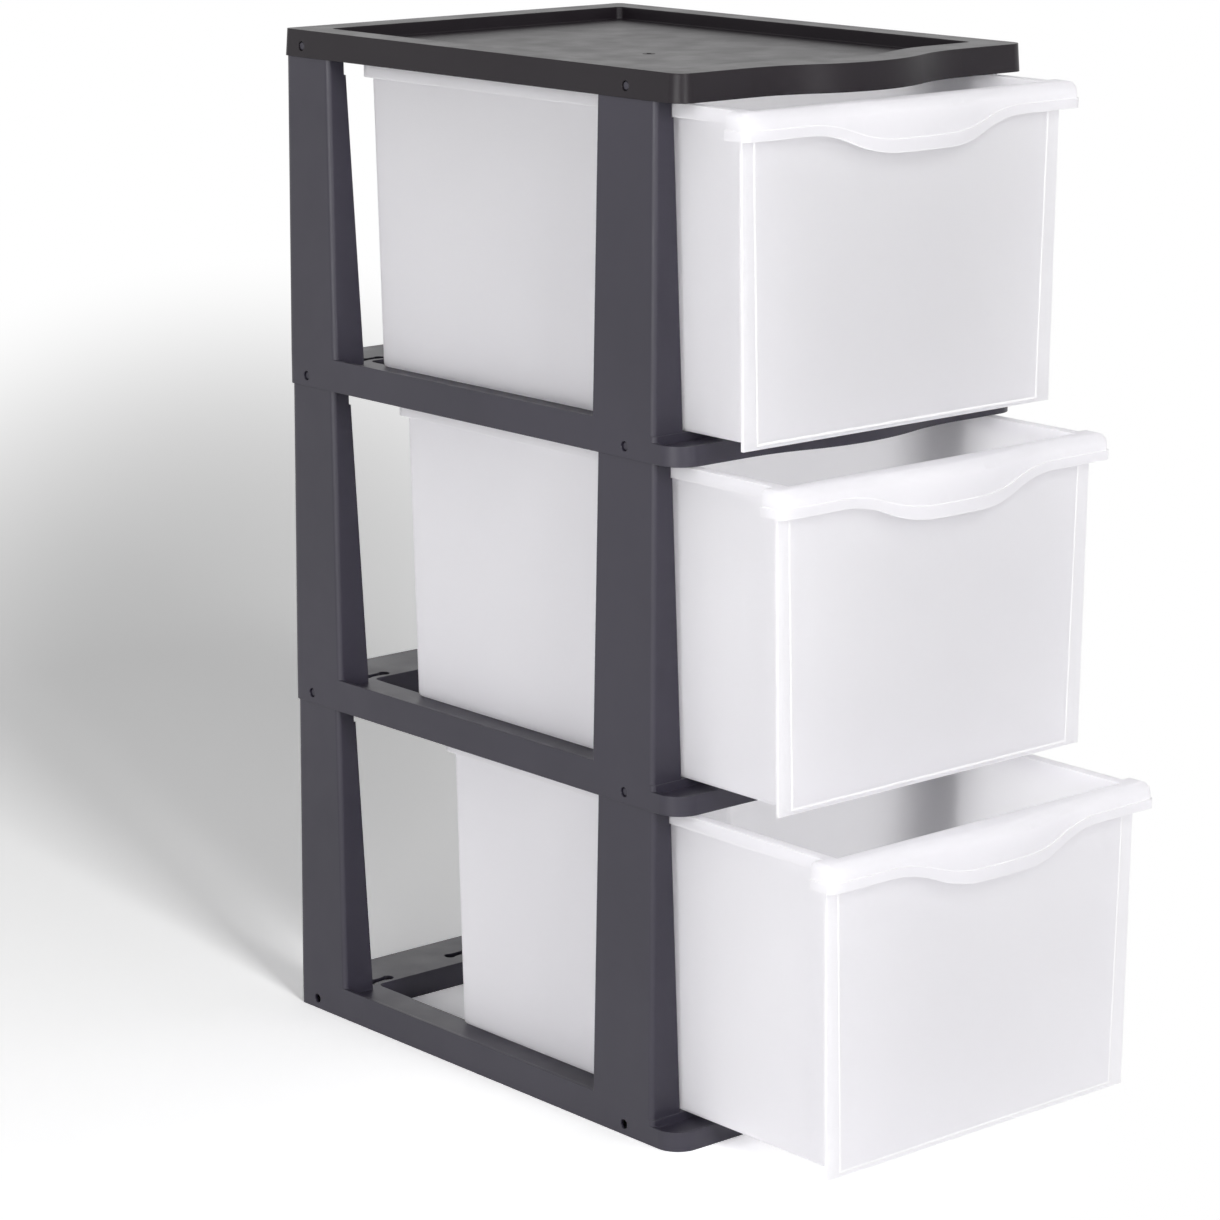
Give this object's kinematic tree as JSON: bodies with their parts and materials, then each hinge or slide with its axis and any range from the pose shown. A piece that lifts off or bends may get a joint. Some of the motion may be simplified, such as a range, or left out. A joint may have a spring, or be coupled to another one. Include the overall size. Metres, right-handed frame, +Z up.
{
  "type": "drawer tower",
  "caption": "Open-frame plastic tower of stacked storeys, each with a frosted slide-out drawer and hooded grip, closed by a shallow top tray.",
  "frame": {"origin": "on the floor, under the middle of the overall box with the drawers pulled out as in the picture", "axes": "+Z up, front and drawer pull towards -Y, +X to the right seen from the front"},
  "size_m": [0.302, 0.5434, 0.69],
  "materials": {
    "dark_frame": "satin",
    "dark_tray": "satin",
    "frosted_drawer": "frosted"
  },
  "bodies": {
    "tower": {"base_frame": "dark_frame", "middle_frame": "dark_frame", "upper_frame": "dark_frame", "top_tray": "dark_tray"},
    "lower_drawer": {"lower_drawer": "frosted_drawer"},
    "middle_drawer": {"middle_drawer": "frosted_drawer"},
    "upper_drawer": {"upper_drawer": "frosted_drawer"}
  },
  "joints": [
    {"name": "lower_drawer_slide", "type": "slide", "parent": "tower", "child": "lower_drawer", "axis": [0, -1, 0], "range_m": [-0.1385, 0.1615]},
    {"name": "middle_drawer_slide", "type": "slide", "parent": "tower", "child": "middle_drawer", "axis": [0, -1, 0], "range_m": [-0.0917, 0.2083]},
    {"name": "upper_drawer_slide", "type": "slide", "parent": "tower", "child": "upper_drawer", "axis": [0, -1, 0], "range_m": [-0.0575, 0.2425]}
  ]
}
